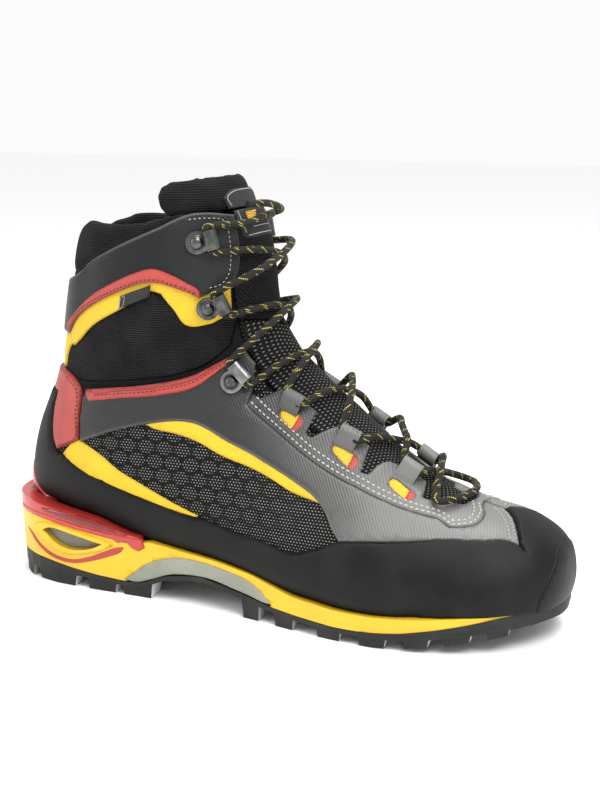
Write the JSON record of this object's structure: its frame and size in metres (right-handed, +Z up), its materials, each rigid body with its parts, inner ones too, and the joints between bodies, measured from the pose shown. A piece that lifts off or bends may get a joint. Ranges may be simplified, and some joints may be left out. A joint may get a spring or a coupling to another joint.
{
  "type": "mountaineering boot",
  "caption": "Right mountaineering boot with lugged sole, rubber rand, textile upper with welded panels, laced hooks and loops, hinged cuff and padded collar.",
  "frame": {"origin": "on the ground, under the middle of the boot's bounding box", "axes": "+X towards the toe, +Y towards the medial side, +Z up"},
  "size_m": [0.3104, 0.1044, 0.2234],
  "materials": {
    "black_textile": "padded black knit",
    "badge_black": "woven black badge and tag",
    "dotted_mesh": "black mesh with small pale flecks in rows",
    "grey_overlay": "coated fabric with fine diagonal ribs",
    "yellow_panel": "matte coated yellow fabric",
    "loop_webbing": "yellow woven webbing with a red edge",
    "red_trim": "coral red coated trim with one row of stitches",
    "heel_ledge_red": "moulded red plastic with a soft shine",
    "black_rubber": "smooth black rubber",
    "outsole_rubber": "black lugged rubber with grey lug faces",
    "yellow_foam": "yellow moulded foam",
    "arch_grey": "grainy grey-green moulding",
    "gunmetal": "dark plated steel",
    "bright_metal": "bright plated steel",
    "lace_black": "round braid with groups of yellow flecks",
    "lining_grey": "dark grey padded lining",
    "board_fibre": "pressed fibre board"
  },
  "bodies": {
    "boot_lower": {"ankle_textile": "black_textile", "tongue_shin": "black_textile", "tongue_instep": "dotted_mesh", "lower_shell": "dotted_mesh", "quarter_overlay_lateral": "grey_overlay", "quarter_overlay_medial": "grey_overlay", "eyestay": "grey_overlay", "upper_band_lateral": "yellow_panel", "upper_band_medial": "yellow_panel", "lower_band_lateral": "yellow_panel", "lower_band_medial": "yellow_panel", "lace_loop_lateral_1": "loop_webbing", "lace_loop_lateral_2": "loop_webbing", "lace_loop_lateral_3": "loop_webbing", "lace_loop_medial_1": "loop_webbing", "lace_loop_medial_2": "loop_webbing", "lace_loop_medial_3": "loop_webbing", "ankle_trim_lateral": "red_trim", "ankle_trim_medial": "red_trim", "heel_tab": "red_trim", "heel_ledge": "heel_ledge_red", "rand_lateral": "black_rubber", "rand_medial": "black_rubber", "toe_cap": "black_rubber", "heel_counter": "black_rubber", "outsole": "outsole_rubber", "midsole": "yellow_foam", "arch_insert_lateral": "arch_grey", "arch_insert_medial": "arch_grey", "window_insert_lateral": "arch_grey", "window_insert_medial": "arch_grey", "cleat_rivet_lateral": "gunmetal", "cleat_rivet_medial": "gunmetal", "ankle_cleat_lateral": "bright_metal", "ankle_cleat_medial": "bright_metal", "lace": "lace_black", "lining": "lining_grey", "footbed": "lining_grey", "insole_board": "board_fibre"},
    "cuff": {"cuff_shell": "black_textile", "cuff_band": "grey_overlay", "collar": "black_textile", "care_tag": "badge_black", "cuff_trim_lateral": "red_trim", "cuff_trim_medial": "red_trim", "cuff_underlay_lateral": "yellow_panel", "cuff_underlay_medial": "yellow_panel", "top_hook_lateral": "gunmetal", "top_hook_medial": "gunmetal", "mid_hook_lateral": "gunmetal", "mid_hook_medial": "gunmetal", "top_rivet_lateral": "gunmetal", "top_rivet_medial": "gunmetal", "mid_rivet_lateral": "gunmetal", "mid_rivet_medial": "gunmetal"},
    "tongue_flap": {"tongue_top": "black_textile", "tongue_label": "badge_black"}
  },
  "joints": [
    {"name": "ankle_flex", "type": "hinge", "parent": "boot_lower", "child": "cuff", "pos_m": [-0.06925, 0.0001, 0.115], "axis": [0, 1, 0], "range_deg": [-10, 15], "stiffness_Nm_per_rad": 6, "deforming": ["lining", "ankle_textile", "tongue_shin", "lace"]},
    {"name": "tongue_flex", "type": "hinge", "parent": "cuff", "child": "tongue_flap", "pos_m": [-0.02125, 0.0001, 0.203], "axis": [0, 1, 0], "range_deg": [-5, 20], "stiffness_Nm_per_rad": 0.03}
  ]
}
